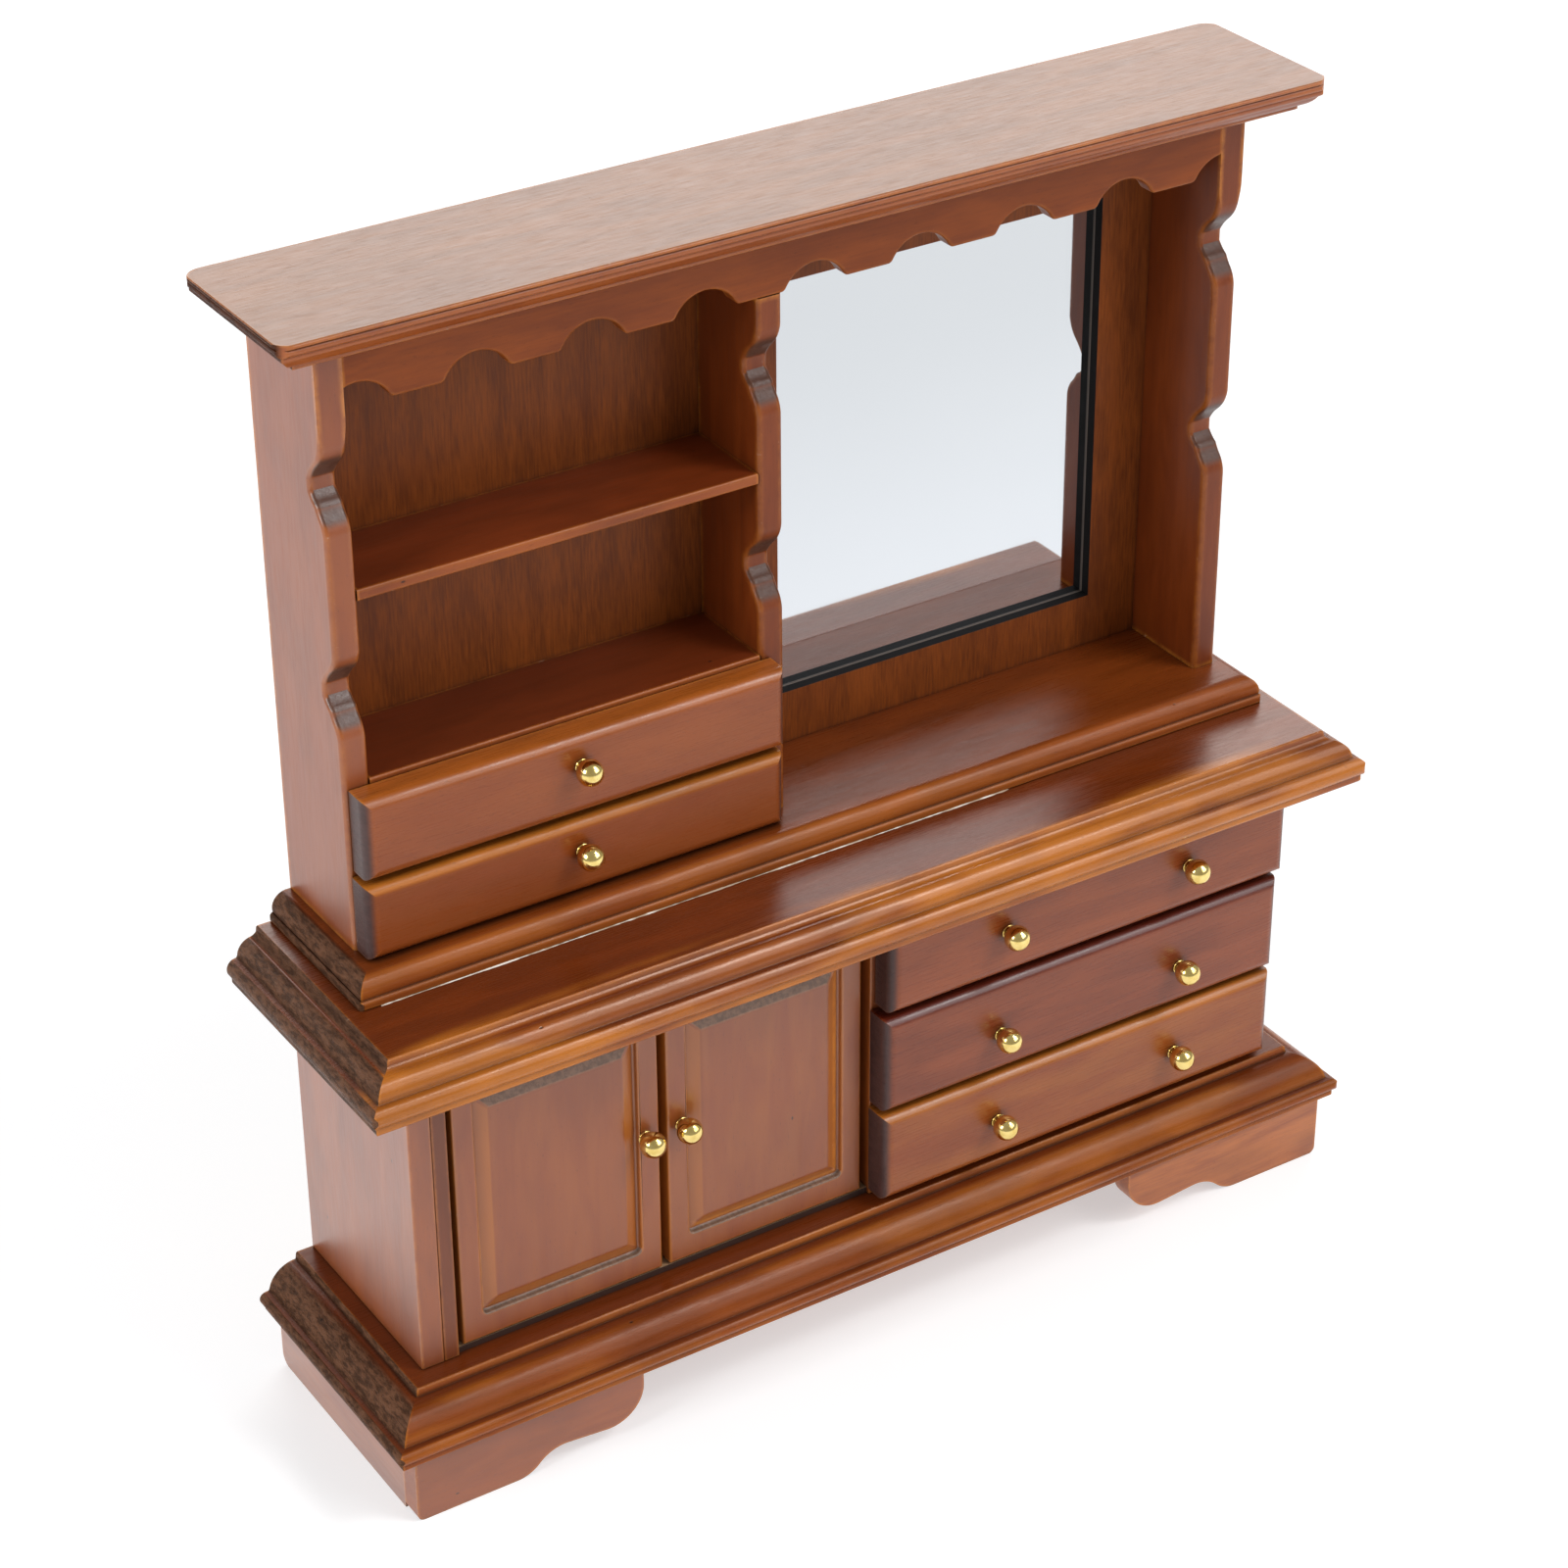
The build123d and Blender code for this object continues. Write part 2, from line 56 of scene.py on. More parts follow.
# ---- colours (linear) ----
HONEY = (0.56, 0.19, 0.025)
AMBER = (0.310, 0.074, 0.012)
RUSSET = (0.245, 0.052, 0.009)
MAHOGANY = (0.105, 0.019, 0.004)
UMBER = (0.035, 0.011, 0.005)
SOOT = (0.006, 0.005, 0.005)
ASH = (0.150, 0.092, 0.062)
OLIVE = (0.255, 0.062, 0.009)
GOLD = (0.480, 0.150, 0.016)
CHIPPED = (0.70, 0.50, 0.36)
DRAWER_END = (0.050, 0.023, 0.020)
WARM = (1.0, 0.80, 0.68)
SLAB_END = (0.062, 0.028, 0.015)
NOTCH_END = (0.075, 0.030, 0.018)
RAW_LIGHT = (0.56, 0.37, 0.20)
RAW_DARK = (0.40, 0.23, 0.11)
BRASS_BRIGHT = (0.90, 0.70, 0.27)
BRASS_DULL = (0.78, 0.57, 0.17)
BRASS_DIRT = (0.20, 0.09, 0.03)
FIBRE_DARK = (0.10, 0.055, 0.030)
FIBRE_LIGHT = (0.23, 0.135, 0.075)
FIBRE_STAIN = (0.09, 0.05, 0.03)
# painted reflection: the mirror's colour low down (lit) and high up (shaded)
SILVER_LOW_LIT = (0.700, 0.724, 0.757)
SILVER_HIGH_SHADED = (0.572, 0.590, 0.608)
# painted highlight: the pale strip along the rear of the window's edges
WINDOW_GAP_LIGHT = (0.16, 0.13, 0.11)
GLUE_DARK = (0.42, 0.30, 0.20)
GLUE_LIGHT = (0.82, 0.76, 0.68)


# ---- node writing ----
class Tree:
    """A node tree written as nested calls: each call makes a node and returns its output."""

    def __init__(self, name):
        self.material = bpy.data.materials.new(name)
        self.material.use_nodes = True
        self.nodes = self.material.node_tree.nodes
        self.links = self.material.node_tree.links
        self.shader = self.nodes["Principled BSDF"]
        self.coordinates = self.nodes.new("ShaderNodeTexCoord")

    def plug(self, socket, value):
        if isinstance(value, bpy.types.NodeSocket):
            self.links.new(value, socket)
        elif isinstance(value, (tuple, list)) and len(value) == 3 and socket.type == "RGBA":
            socket.default_value = (*value, 1.0)
        else:
            socket.default_value = value

    def node(self, kind, inputs=(), out=0, **settings):
        made = self.nodes.new("ShaderNode" + kind)
        for key, value in settings.items():
            setattr(made, key, value)
        for key, value in dict(inputs).items():
            self.plug(made.inputs[key], value)
        return made.outputs[out]

    def place(self, scale, shift):
        """Object coordinates in millimetres, moved by shift and then scaled along each axis."""
        factors = [s / MM for s in scale]
        moved = [c * s for c, s in zip(shift, scale)]
        scaled = self.node("VectorMath", {0: self.coordinates.outputs["Object"], 1: factors},
                           operation="MULTIPLY")
        return self.node("VectorMath", {0: scaled, 1: moved}, operation="ADD")

    def noise(self, vector, scale, detail=2.0, roughness=0.5, distortion=0.0):
        return self.node("TexNoise", {"Vector": vector, "Scale": scale, "Detail": detail,
                                      "Roughness": roughness, "Distortion": distortion})

    def math(self, operation, *values):
        return self.node("Math", dict(enumerate(values)), operation=operation)

    def ramp(self, value, low, high, to_low=0.0, to_high=1.0):
        return self.node("MapRange", {"Value": value, "From Min": low, "From Max": high,
                                      "To Min": to_low, "To Max": to_high},
                         interpolation_type="SMOOTHSTEP")

    def mix(self, factor, one, other, blend="MIX"):
        made = self.nodes.new("ShaderNodeMix")
        made.data_type, made.blend_type = "RGBA", blend
        for socket, value in ((made.inputs[0], factor), (made.inputs[6], one), (made.inputs[7], other)):
            self.plug(socket, value)
        return made.outputs[2]

    def split(self, vector):
        parts = self.nodes.new("ShaderNodeSeparateXYZ")
        self.links.new(vector, parts.inputs[0])
        return parts.outputs

    def position(self, axis):
        """The object-space position along one axis, in millimetres."""
        return self.split(self.place(SAME, (0, 0, 0)))[axis]

    def facing(self, axis):
        """The object-space normal along one axis."""
        return self.split(self.coordinates.outputs["Normal"])[axis]

    def occlusion(self, distance, inside=False, local=True):
        return self.node("AmbientOcclusion", {"Distance": distance * MM}, out="AO", samples=4,
                         inside=inside, only_local=local)

    def bump(self, height, strength, distance, normal=None):
        inputs = {"Height": height, "Strength": strength, "Distance": distance * MM}
        if normal:
            inputs["Normal"] = normal
        return self.node("Bump", inputs)

    def finish(self, **sockets):
        for key, value in sockets.items():
            self.plug(self.shader.inputs[key.replace("_", " ")], value)
        return self.material


# ---- woods ----
def stretch(along, amount):
    """Scale factors that draw a texture out along one axis."""
    return [amount if axis == along else 1.0 for axis in range(3)]


def stained_wood(name, along, seed, tint=AMBER, deep=RUSSET, top=None, crest=None, worn=HONEY, wear=0.8,
                 arris=0.45, end=None, end_from=(0.15, 0.40), end_torn=1.0, end_side=0, window=None,
                 slopes=0.0, gilt=0.0, gilt_edge=None, dirt_and_shade=0.7, quirk_shade=0.0, streaks=0.35, clouds=0.5,
                 gloss=0.34, specular=0.5, sheen=(1.0, 1.0, 1.0), coat=0.0):
    """Stained and varnished wood: grain along one axis, clouds of stain, worn arrises, painted shade with
    grime in joints.

    tint, deep: the stain on light and on dark grain. top: on faces turned up. crest: on edges turned
        partly up. streaks: how much of the colour is fine grain. clouds: how strong the dark clouds are.
    worn, wear, arris: the colour that is rubbed through on arrises, how much, and how far in (mm).
    slopes: how worn the sloping faces are.
    end, end_from, end_torn, end_side: the colour of end grain, the tilt at which it starts and is full,
        how torn it is, and which end has it (-1, 1, or 0 for both).
    window: the place (mm along Y) of the rear face of a board with a window in it. The window's edges
    are black, with a painted highlight along the rear face: a paler strip for the light that shows between
    the board and the mirror.
    gilt, gilt_edge: how golden the patches on mouldings are. The top has them too in front of gilt_edge,
        a place along Y in mm.
    dirt_and_shade, quirk_shade: how dark the painted shade (with grime) is in joints and corners, and in
    the narrow grooves of a moulding.
    gloss, specular, sheen, coat: roughness, strength and colour of the varnish's shine, and how much
        clear coat the left faces have. The other faces have a fifth of it.
    """
    t = Tree(name)
    shift = [37.0 * seed + 11.0, 23.0 * seed + 5.0, 51.0 * seed + 17.0]
    fine = t.noise(t.place(stretch(along, 0.07), shift), 3.4, 4.0, 0.6)
    figure = t.noise(t.place(stretch(along, 0.16), shift), 0.30, 3.0, 0.5, 0.6)
    patch = t.noise(t.place(stretch(along, 0.4), shift), 0.12, 3.0, 0.6)
    pores = t.ramp(t.noise(t.place(stretch(along, 0.2), shift), 5.5, 1.0, 0.5), 0.66, 0.78)
    grain = t.ramp(t.math("ADD", t.math("MULTIPLY", fine, streaks),
                          t.math("MULTIPLY", figure, 1.0 - streaks)), 0.32, 0.66)
    up = t.facing(ALONG_Z)

    # stain
    colour = t.mix(grain, deep, tint)
    if crest:
        colour = t.mix(t.ramp(up, 0.15, 0.6), colour, t.mix(grain, [c * 0.7 for c in crest], crest))
    if top:
        colour = t.mix(t.ramp(up, 0.86, 0.98), colour, t.mix(grain, [c * 0.76 for c in top], top))
    if gilt:
        golden = t.noise(t.place(stretch(along, 0.22), [c + 9.0 for c in shift]), 0.10, 3.0, 0.6)
        plain = t.ramp(up, 0.90, 0.98)
        if gilt_edge:
            behind = t.ramp(t.position(ALONG_Y), gilt_edge, gilt_edge + 2.5, 0.1, 1.0)
            plain = t.math("MULTIPLY", plain, behind)
        patches = t.ramp(golden, 0.44, 0.60, 0.0, gilt)
        colour = t.mix(t.math("MULTIPLY", t.math("SUBTRACT", 1.0, plain), patches), colour, GOLD)
    colour = t.mix(t.ramp(patch, 0.42, 0.66, 0.0, clouds), colour, t.mix(0.6, colour, MAHOGANY))
    colour = t.mix(t.math("MULTIPLY", pores, 0.3), colour, UMBER)
    if slopes:
        leaning = t.ramp(t.math("ABSOLUTE", t.facing(ALONG_Y)), 0.985, 0.93, 0.0, slopes)
        colour = t.mix(leaning, colour, worn)
    if end:
        towards = t.facing(along)
        towards = t.math("MULTIPLY", towards, end_side) if end_side else t.math("ABSOLUTE", towards)
        ends_up = t.ramp(towards, *end_from)
        ends = t.noise(t.place(stretch(ALONG_Y, 0.3), shift), 1.5, 6.0, 0.7)
        torn = t.ramp(ends, 0.38, 0.62)
        colour = t.mix(ends_up, colour, t.mix(torn, end, [c * (1.0 + 1.8 * end_torn) for c in end]))

    # wear, grime and painted shade
    edges = t.ramp(t.occlusion(arris, inside=True), 0.97, 0.55)
    rub = t.noise(t.place(SAME, shift), 0.45, 3.0, 0.65)
    rubbed = t.math("MULTIPLY", edges, t.ramp(rub, 0.30, 0.62, 0.3 * wear, wear))
    if end:
        rubbed = t.math("MULTIPLY", rubbed, t.math("SUBTRACT", 1.0, t.math("MULTIPLY", ends_up, 0.85)))
    colour = t.mix(rubbed, colour, worn)
    chips = t.ramp(t.noise(t.place(SAME, shift), 1.5, 2.0, 0.5), 0.70, 0.76)
    chipped = t.math("MULTIPLY", t.math("MULTIPLY", chips, edges), 0.8 * wear)
    colour = t.mix(chipped, colour, CHIPPED)
    # painted shade: darker wherever nearby surfaces close round a point, in joints, corners and recesses,
    # with grime in the joints
    joint_dirt_and_shade = t.ramp(t.occlusion(1.4, local=False), 0.30, 0.80, dirt_and_shade, 0.0)
    colour = t.mix(joint_dirt_and_shade, colour, UMBER)
    if quirk_shade:
        # painted shade in the narrow grooves of the moulding
        hollow_shade = t.ramp(t.occlusion(0.7), 0.62, 0.97, quirk_shade, 0.0)
        colour = t.mix(hollow_shade, colour, UMBER)
    pits = t.node("TexVoronoi", {"Vector": t.place(stretch(along, 0.5), shift), "Scale": 0.16},
                  out="Distance")
    pitted = t.ramp(pits, 0.035, 0.012)
    colour = t.mix(t.math("MULTIPLY", pitted, 0.8), colour, SOOT)

    # varnish
    rough = t.ramp(fine, 0.3, 0.75, gloss - 0.05, gloss + 0.09)
    if quirk_shade:
        rough = t.math("SUBTRACT", rough, t.ramp(up, 0.90, 0.98, 0.04, 0.0))
    height = t.math("SUBTRACT", t.math("MULTIPLY", fine, 0.6), t.math("MULTIPLY", pores, 0.5))
    height = t.math("SUBTRACT", height, t.math("MULTIPLY", pitted, 2.0))
    uneven = t.noise(t.place(stretch(along, 0.25), shift), 0.30, 2.0)
    normal = t.node("Bevel", {"Radius": 0.12 * MM}, samples=4)
    normal = t.bump(height, 0.30, 0.04, t.bump(uneven, 0.35, 0.15, normal))
    if end:
        rough = t.math("ADD", rough, t.math("MULTIPLY", ends_up, 0.16 * end_torn))
        specular = t.ramp(ends_up, 0.0, 1.0, specular, specular * (1.0 - 0.7 * end_torn))
        normal = t.bump(t.math("MULTIPLY", ends, ends_up), end_torn, 0.60, normal)
    if window:
        cut = t.ramp(t.math("ABSOLUTE", t.facing(ALONG_Y)), 0.75, 0.45)
        # painted highlight: a paler strip along the rear face, for the light between the board and the
        # mirror
        line = t.ramp(t.position(ALONG_Y), window - 0.30, window - 0.22)
        colour = t.mix(cut, colour, t.mix(line, SOOT, WINDOW_GAP_LIGHT))
        rough = t.mix(cut, rough, (0.75, 0.75, 0.75))
    if coat:
        coat = t.ramp(t.facing(ALONG_X), -0.3, -0.9, 0.2 * coat, coat)
    return t.finish(Base_Color=colour, Roughness=rough, Normal=normal, IOR=1.5,
                    Specular_IOR_Level=specular, Specular_Tint=(*sheen, 1.0), Coat_Weight=coat,
                    Coat_Roughness=0.30)


def drawer_wood(name, seed, tint, crest, **changes):
    """The front of a drawer: quiet grain and smooth dark ends."""
    return stained_wood(name, ALONG_X, seed, tint=tint, crest=crest, end=DRAWER_END, end_from=(0.2, 0.8),
                        end_torn=0.2, gloss=0.29, clouds=0.25, streaks=0.25, **changes)


def door_wood(name, seed, tint):
    """A door: worn slopes, and grey grain on those faces of its groove that are turned up."""
    return stained_wood(name, ALONG_Z, seed, tint=tint, end=ASH, end_from=(0.15, 0.45), end_torn=0.35,
                        end_side=1, slopes=0.35, dirt_and_shade=0.3, specular=0.9, clouds=0.25, streaks=0.25)


def slab_wood(name, seed, top, gilt, **changes):
    """A moulded slab: painted shade in its narrow grooves, golden patches and torn dark grain at its left
    end.
    """
    return stained_wood(name, ALONG_X, seed, top=top, gilt=gilt, end=SLAB_END, end_side=-1, streaks=0.15,
                        quirk_shade=0.9, sheen=WARM, **changes)


def upright_finish(name, seed, **changes):
    """A scroll-cut upright: dark grain in the notches and well rubbed arrises."""
    return stained_wood(name, ALONG_Z, seed, end=NOTCH_END, end_from=(0.35, 0.6), end_torn=0.1, arris=0.8,
                        wear=1.0, **changes)


def raw_wood(name, along, seed=0.0):
    """Pale unfinished basswood, for drawer boxes and hidden boards."""
    t = Tree(name)
    shift = [41.0 * seed + 3.0, 29.0 * seed + 9.0, 13.0 * seed + 7.0]
    fine = t.noise(t.place(stretch(along, 0.04), shift), 2.6, 4.0, 0.65)
    figure = t.noise(t.place(stretch(along, 0.08), shift), 0.3, 3.0, 0.55, 1.0)
    grain = t.ramp(t.math("ADD", t.math("MULTIPLY", fine, 0.5), t.math("MULTIPLY", figure, 0.5)),
                   0.35, 0.65)
    colour = t.mix(grain, RAW_DARK, RAW_LIGHT)
    # painted shade: darker in the corners and joints of the boxes
    joint_dirt_and_shade = t.ramp(t.occlusion(2.0, local=False), 0.2, 0.8, 0.5, 0.0)
    colour = t.mix(joint_dirt_and_shade, colour, (0.12, 0.06, 0.03))
    colour = t.mix(t.ramp(t.facing(ALONG_Y), -0.5, -0.8), colour, UMBER)
    return t.finish(Base_Color=colour, Roughness=t.ramp(fine, 0.3, 0.7, 0.62, 0.8),
                    Normal=t.bump(fine, 0.5, 0.06))


def hardboard(name):
    """Brown pressed fibre, a little hairy."""
    t = Tree(name)
    fibres = t.noise(t.place(SAME, (4, 8, 15)), 2.4, 6.0, 0.75, 2.0)
    mottle = t.noise(t.place(SAME, (16, 23, 42)), 0.25, 3.0)
    colour = t.mix(t.ramp(fibres, 0.35, 0.65), FIBRE_DARK, FIBRE_LIGHT)
    colour = t.mix(t.ramp(mottle, 0.35, 0.65, 0.0, 0.35), colour, FIBRE_STAIN)
    return t.finish(Base_Color=colour, Roughness=t.ramp(fibres, 0.3, 0.7, 0.7, 0.9),
                    Normal=t.bump(fibres, 0.6, 0.08))


def brass(name):
    """Polished brass with faint turning lines and finger marks."""
    t = Tree(name)
    smears = t.noise(t.place(SAME, (2, 3, 5)), 0.8, 3.0, 0.6)
    lines = t.noise(t.place((1, 12, 1), (7, 11, 13)), 1.1, 2.0)
    colour = t.mix(t.ramp(smears, 0.35, 0.7), BRASS_BRIGHT, BRASS_DULL)
    dull = t.ramp(t.occlusion(0.6, local=False), 0.25, 0.75, 0.7, 0.0)
    colour = t.mix(dull, colour, BRASS_DIRT)
    return t.finish(Base_Color=colour, Metallic=1.0, Roughness=t.ramp(smears, 0.3, 0.75, 0.10, 0.22),
                    Normal=t.bump(lines, 0.15, 0.02))


def mirror(name):
    """A silvered mirror, darker towards the top as a painted reflection of the shaded floor, with the
    faintest bloom on the glass.
    """
    t = Tree(name)
    bloom = t.noise(t.place(SAME, (19, 29, 31)), 0.06, 3.0)
    low, high = (corner[2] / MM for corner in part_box("mirror_glass"))
    height = t.math("ADD", t.position(ALONG_Z), t.math("MULTIPLY", bloom, 4.0))
    # painted reflection: lighter low down, darker towards the top
    colour = t.mix(t.ramp(height, low, high), SILVER_LOW_LIT, SILVER_HIGH_SHADED)
    return t.finish(Base_Color=colour, Metallic=1.0, Roughness=t.ramp(bloom, 0.3, 0.7, 0.015, 0.035))


panel_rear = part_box("hutch_back_panel")[1][ALONG_Y] / MM
worktop_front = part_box("worktop")[0][ALONG_Y] / MM
GILT_REACH = 4.9    # mm of the worktop, from its front edge, that is moulded and golden
finishes = {
    "cornice": stained_wood("cornice_wood", ALONG_X, 1, tint=(0.33, 0.080, 0.012),
                            top=(0.275, 0.102, 0.025), end=UMBER, end_from=(0.6, 0.9), clouds=0.15,
                            streaks=0.2),
    # the worktop's dark top is painted shade of the hutch that stands over it
    "worktop": slab_wood("worktop_wood", 2, (0.165, 0.030, 0.004), 0.95, tint=(0.33, 0.085, 0.011),
                         crest=(0.34, 0.085, 0.010), gilt_edge=worktop_front + GILT_REACH, wear=1.0,
                         gloss=0.27),
    "riser_board": slab_wood("riser_wood", 3, (0.200, 0.042, 0.006), 0.25, crest=AMBER, gloss=0.30,
                             specular=0.24),
    # the base's darkened tint and crest are painted shade under the worktop's overhang
    "base_board": slab_wood("base_wood", 4, (0.145, 0.028, 0.005), 0.35, tint=(0.27, 0.062, 0.010),
                            crest=(0.235, 0.052, 0.008), clouds=0.6, gloss=0.30, specular=0.22),
    "apron": stained_wood("apron_wood", ALONG_X, 5, tint=(0.262, 0.058, 0.008), deep=(0.19, 0.040, 0.007),
                          specular=0.2),
    "bay_shelf": stained_wood("shelf_wood", ALONG_X, 6, top=(0.190, 0.034, 0.007), clouds=0.8,
                              specular=0.3),
    "drawer_case_top": stained_wood("drawer_case_wood", ALONG_X, 7, top=(0.150, 0.027, 0.006), clouds=0.8,
                                    specular=0.3),
    "hutch_back_panel": stained_wood("back_panel_wood", ALONG_Z, 8, tint=OLIVE, deep=(0.125, 0.030, 0.006),
                                     window=panel_rear, wear=0.0, clouds=0.3, gloss=0.42, streaks=0.6,
                                     specular=0.2),
    "left_door": door_wood("left_door_wood", 9, (0.29, 0.072, 0.012)),
    "right_door": door_wood("right_door_wood", 10, (0.29, 0.074, 0.012)),
    "low_drawer_front": drawer_wood("low_drawer_wood", 11, (0.31, 0.083, 0.013), GOLD),
    "middle_drawer_front": drawer_wood("middle_drawer_wood", 12, (0.24, 0.052, 0.014),
                                       (0.115, 0.014, 0.006), deep=(0.17, 0.034, 0.010), worn=RUSSET),
    "top_drawer_front": drawer_wood("top_drawer_wood", 13, (0.262, 0.057, 0.012), RUSSET,
                                    deep=(0.20, 0.040, 0.009)),
    "hutch_low_drawer_front": drawer_wood("hutch_low_drawer_wood", 14, (0.235, 0.053, 0.008), GOLD,
                                          specular=0.25),
    "hutch_top_drawer_front": drawer_wood("hutch_top_drawer_wood", 15, (0.29, 0.068, 0.011),
                                          (0.38, 0.10, 0.014), specular=0.45),
    "left_upright": upright_finish("left_upright_wood", 16, tint=(0.27, 0.062, 0.010), specular=0.6,
                                   coat=0.4),
    "left_side": stained_wood("left_side_wood", ALONG_Z, 17, specular=1.0, coat=0.9, gloss=0.42),
    "left_stile": stained_wood("left_stile_wood", ALONG_Z, 23, tint=(0.185, 0.044, 0.012),
                               deep=(0.14, 0.032, 0.008), specular=0.6),
    # the skirt's pale, greyish tint is a painted sheen, for the floor's light glancing off it
    "left_skirt": stained_wood("left_skirt_wood", ALONG_Y, 18, tint=(0.34, 0.100, 0.030), specular=1.0,
                               coat=1.0, gloss=0.42),
    # the right foot's lighter tint is painted light, for the light falling on it from the right
    "front_right_foot": stained_wood("right_foot_wood", ALONG_X, 19, tint=(0.44, 0.125, 0.022),
                                     specular=0.7),
    "mirror_glass": mirror("mirror_silver"),
    "mirror_backing": hardboard("pressed_board"),
}
upright_wood = upright_finish("upright_wood", 22, tint=(0.205, 0.042, 0.007), deep=(0.150, 0.028, 0.005),
                              specular=0.3)
side_wood = stained_wood("side_wood", ALONG_Z, 20, specular=0.7)
foot_wood = stained_wood("foot_wood", ALONG_X, 21, specular=1.0, coat=0.3, gloss=0.40)
box_wood = raw_wood("box_wood", ALONG_X)
box_side_wood = raw_wood("box_side_wood", ALONG_Y, 1.0)
knob_brass = brass("knob_brass")

SLOT_FINISH = {"stained_wood": side_wood, "inner_wood": box_wood, "hardboard": finishes["mirror_backing"],
               "brass": knob_brass, "mirror": finishes["mirror_glass"]}


def slot_of(node):
    """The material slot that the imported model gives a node."""
    return node.data.materials[0].name.split(".")[0]


def finish_of(name, node):
    """The finish of a board: its own, or the one its kind shares."""
    if name in finishes:
        return finishes[name]
    if name.endswith("_upright"):
        return upright_wood
    if name.endswith("_foot") or name.endswith("_skirt"):
        return foot_wood
    if name.endswith("_sides"):
        return box_side_wood
    return SLOT_FINISH[slot_of(node)]


# ---- arrises ----
ROUND_STEPS = 5
SOFT_STEPS = 3
UPRIGHT_RADIUS = 0.65   # mm
GROOVE_RADIUS = 0.30
PLAIN_TOP = 9.4         # mm of an upright's front, behind and beside the apron, that stay square
PLAIN_FOOT = 0.5        # and at its foot
GROOVE_INSET = 1.5      # mm from a door's edges, further in than which its groove lies
GROOVE_BOTTOM = 0.7     # mm behind a door's front face, past which an edge is on the groove's bottom
GROOVE_DEEPEST = 1.2
UPPER_TURN = 15         # degrees that an edge of the groove turns by before it is rounded
BOTTOM_TURN = 45        # the same on the groove's bottom


def add_piece(name, shape, finish, body):
    """A new piece that moves with a body. It takes the mesh out of shape and frees it."""
    mesh = bpy.data.meshes.new(name)
    shape.to_mesh(mesh)
    shape.free()
    piece = bpy.data.objects.new(name, mesh)
    bpy.context.scene.collection.objects.link(piece)
    piece.data.materials.append(finish)
    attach(piece, body)
    return piece


def even_normals(piece):
    modifier = piece.modifiers.new("normals", "WEIGHTED_NORMAL")
    modifier.keep_sharp, modifier.weight = True, 80


def soften(node, width):
    """Sanded arrises on a plain board."""
    weld = node.modifiers.new("weld", "WELD")
    weld.merge_threshold = WELD_DISTANCE
    flat = node.modifiers.new("flat", "DECIMATE")
    flat.decimate_type, flat.angle_limit = "DISSOLVE", FLAT_ANGLE
    bevel = node.modifiers.new("arris", "BEVEL")
    bevel.limit_method, bevel.angle_limit = "ANGLE", CREASE
    bevel.width, bevel.segments = width * MM, SOFT_STEPS
    bevel.miter_outer = "MITER_ARC"
    even_normals(node)


def rounded_copy(name, body, radius, chosen):
    """A copy of a board with some of its edges rounded over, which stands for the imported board."""
    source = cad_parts[name]
    shape = bmesh.new()
    shape.from_mesh(source.data)
    bmesh.ops.remove_doubles(shape, verts=shape.verts, dist=WELD_DISTANCE)
    bmesh.ops.dissolve_limit(shape, angle_limit=FLAT_ANGLE, verts=shape.verts, edges=shape.edges)
    shape.normal_update()
    edges = [e for e in shape.edges if len(e.link_faces) == 2 and chosen(e, *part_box(name))]
    bmesh.ops.bevel(shape, geom=edges, offset=radius * MM, segments=ROUND_STEPS, profile=0.5,
                    affect="EDGES", clamp_overlap=False)
    for face in shape.faces:
        face.smooth = True
    for edge in shape.edges:
        edge.smooth = len(edge.link_faces) == 2 and edge.calc_face_angle() < CREASE
    piece = add_piece(name + "_rounded", shape, finish_of(name, source), body)
    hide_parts(name)
    even_normals(piece)


def middle_of(edge):
    return (edge.verts[0].co + edge.verts[1].co) / 2


def upright_front(edge, low, high):
    """The scrolled front edge of an upright: where its sides meet its front."""
    one, other = edge.link_faces
    sides = [abs(face.normal.x) > 0.9 for face in (one, other)]
    if sides[0] == sides[1]:
        return False
    normal = (other if sides[0] else one).normal
    height = middle_of(edge).z
    return normal.y < 0.5 and low[ALONG_Z] + PLAIN_FOOT * MM < height < high[ALONG_Z] - PLAIN_TOP * MM


def door_groove(edge, low, high):
    """The edges of a door's routed groove, but not the shallow ones along its bottom."""
    middle, inset = middle_of(edge), GROOVE_INSET * MM
    inside = all(low[axis] + inset < middle[axis] < high[axis] - inset for axis in (ALONG_X, ALONG_Z))
    flat = max(abs(face.normal.y) for face in edge.link_faces) > 0.85
    depth = (middle.y - low[ALONG_Y]) / MM
    least = BOTTOM_TURN if depth > GROOVE_BOTTOM else UPPER_TURN
    turn = math.degrees(edge.calc_face_angle())
    return inside and flat and depth < GROOVE_DEEPEST and turn > least


# how far each kind of board is sanded round, mm
ARRIS = {"stained_wood": 0.22, "inner_wood": 0.12, "hardboard": 0.05, "mirror": 0.05}
PLAIN_BOARDS = ("left_side", "right_side", "left_stile", "case_divider")
PLAIN_SLOTS = ("inner_wood", "hardboard", "mirror")

for name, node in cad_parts.items():
    slot = slot_of(node)
    finish = finish_of(name, node)
    if name in PLAIN_BOARDS or slot in PLAIN_SLOTS:
        soften(node, ARRIS[slot])
    if name.endswith("_upright"):
        rounded_copy(name, "case", UPRIGHT_RADIUS, upright_front)
    if name in ("left_door", "right_door"):
        rounded_copy(name, name, GROOVE_RADIUS, door_groove)
    node.data.materials.clear()
    node.data.materials.append(finish)


# ---- the ragged line of old glue under the riser ----
GLUE_STEPS = 420
GLUE_WIDTH = 0.21
GLUE_FROM_LEFT, GLUE_FROM_RIGHT = 3, 45     # mm from the riser's ends
GLUE_THINNEST = 0.30                        # of the full width


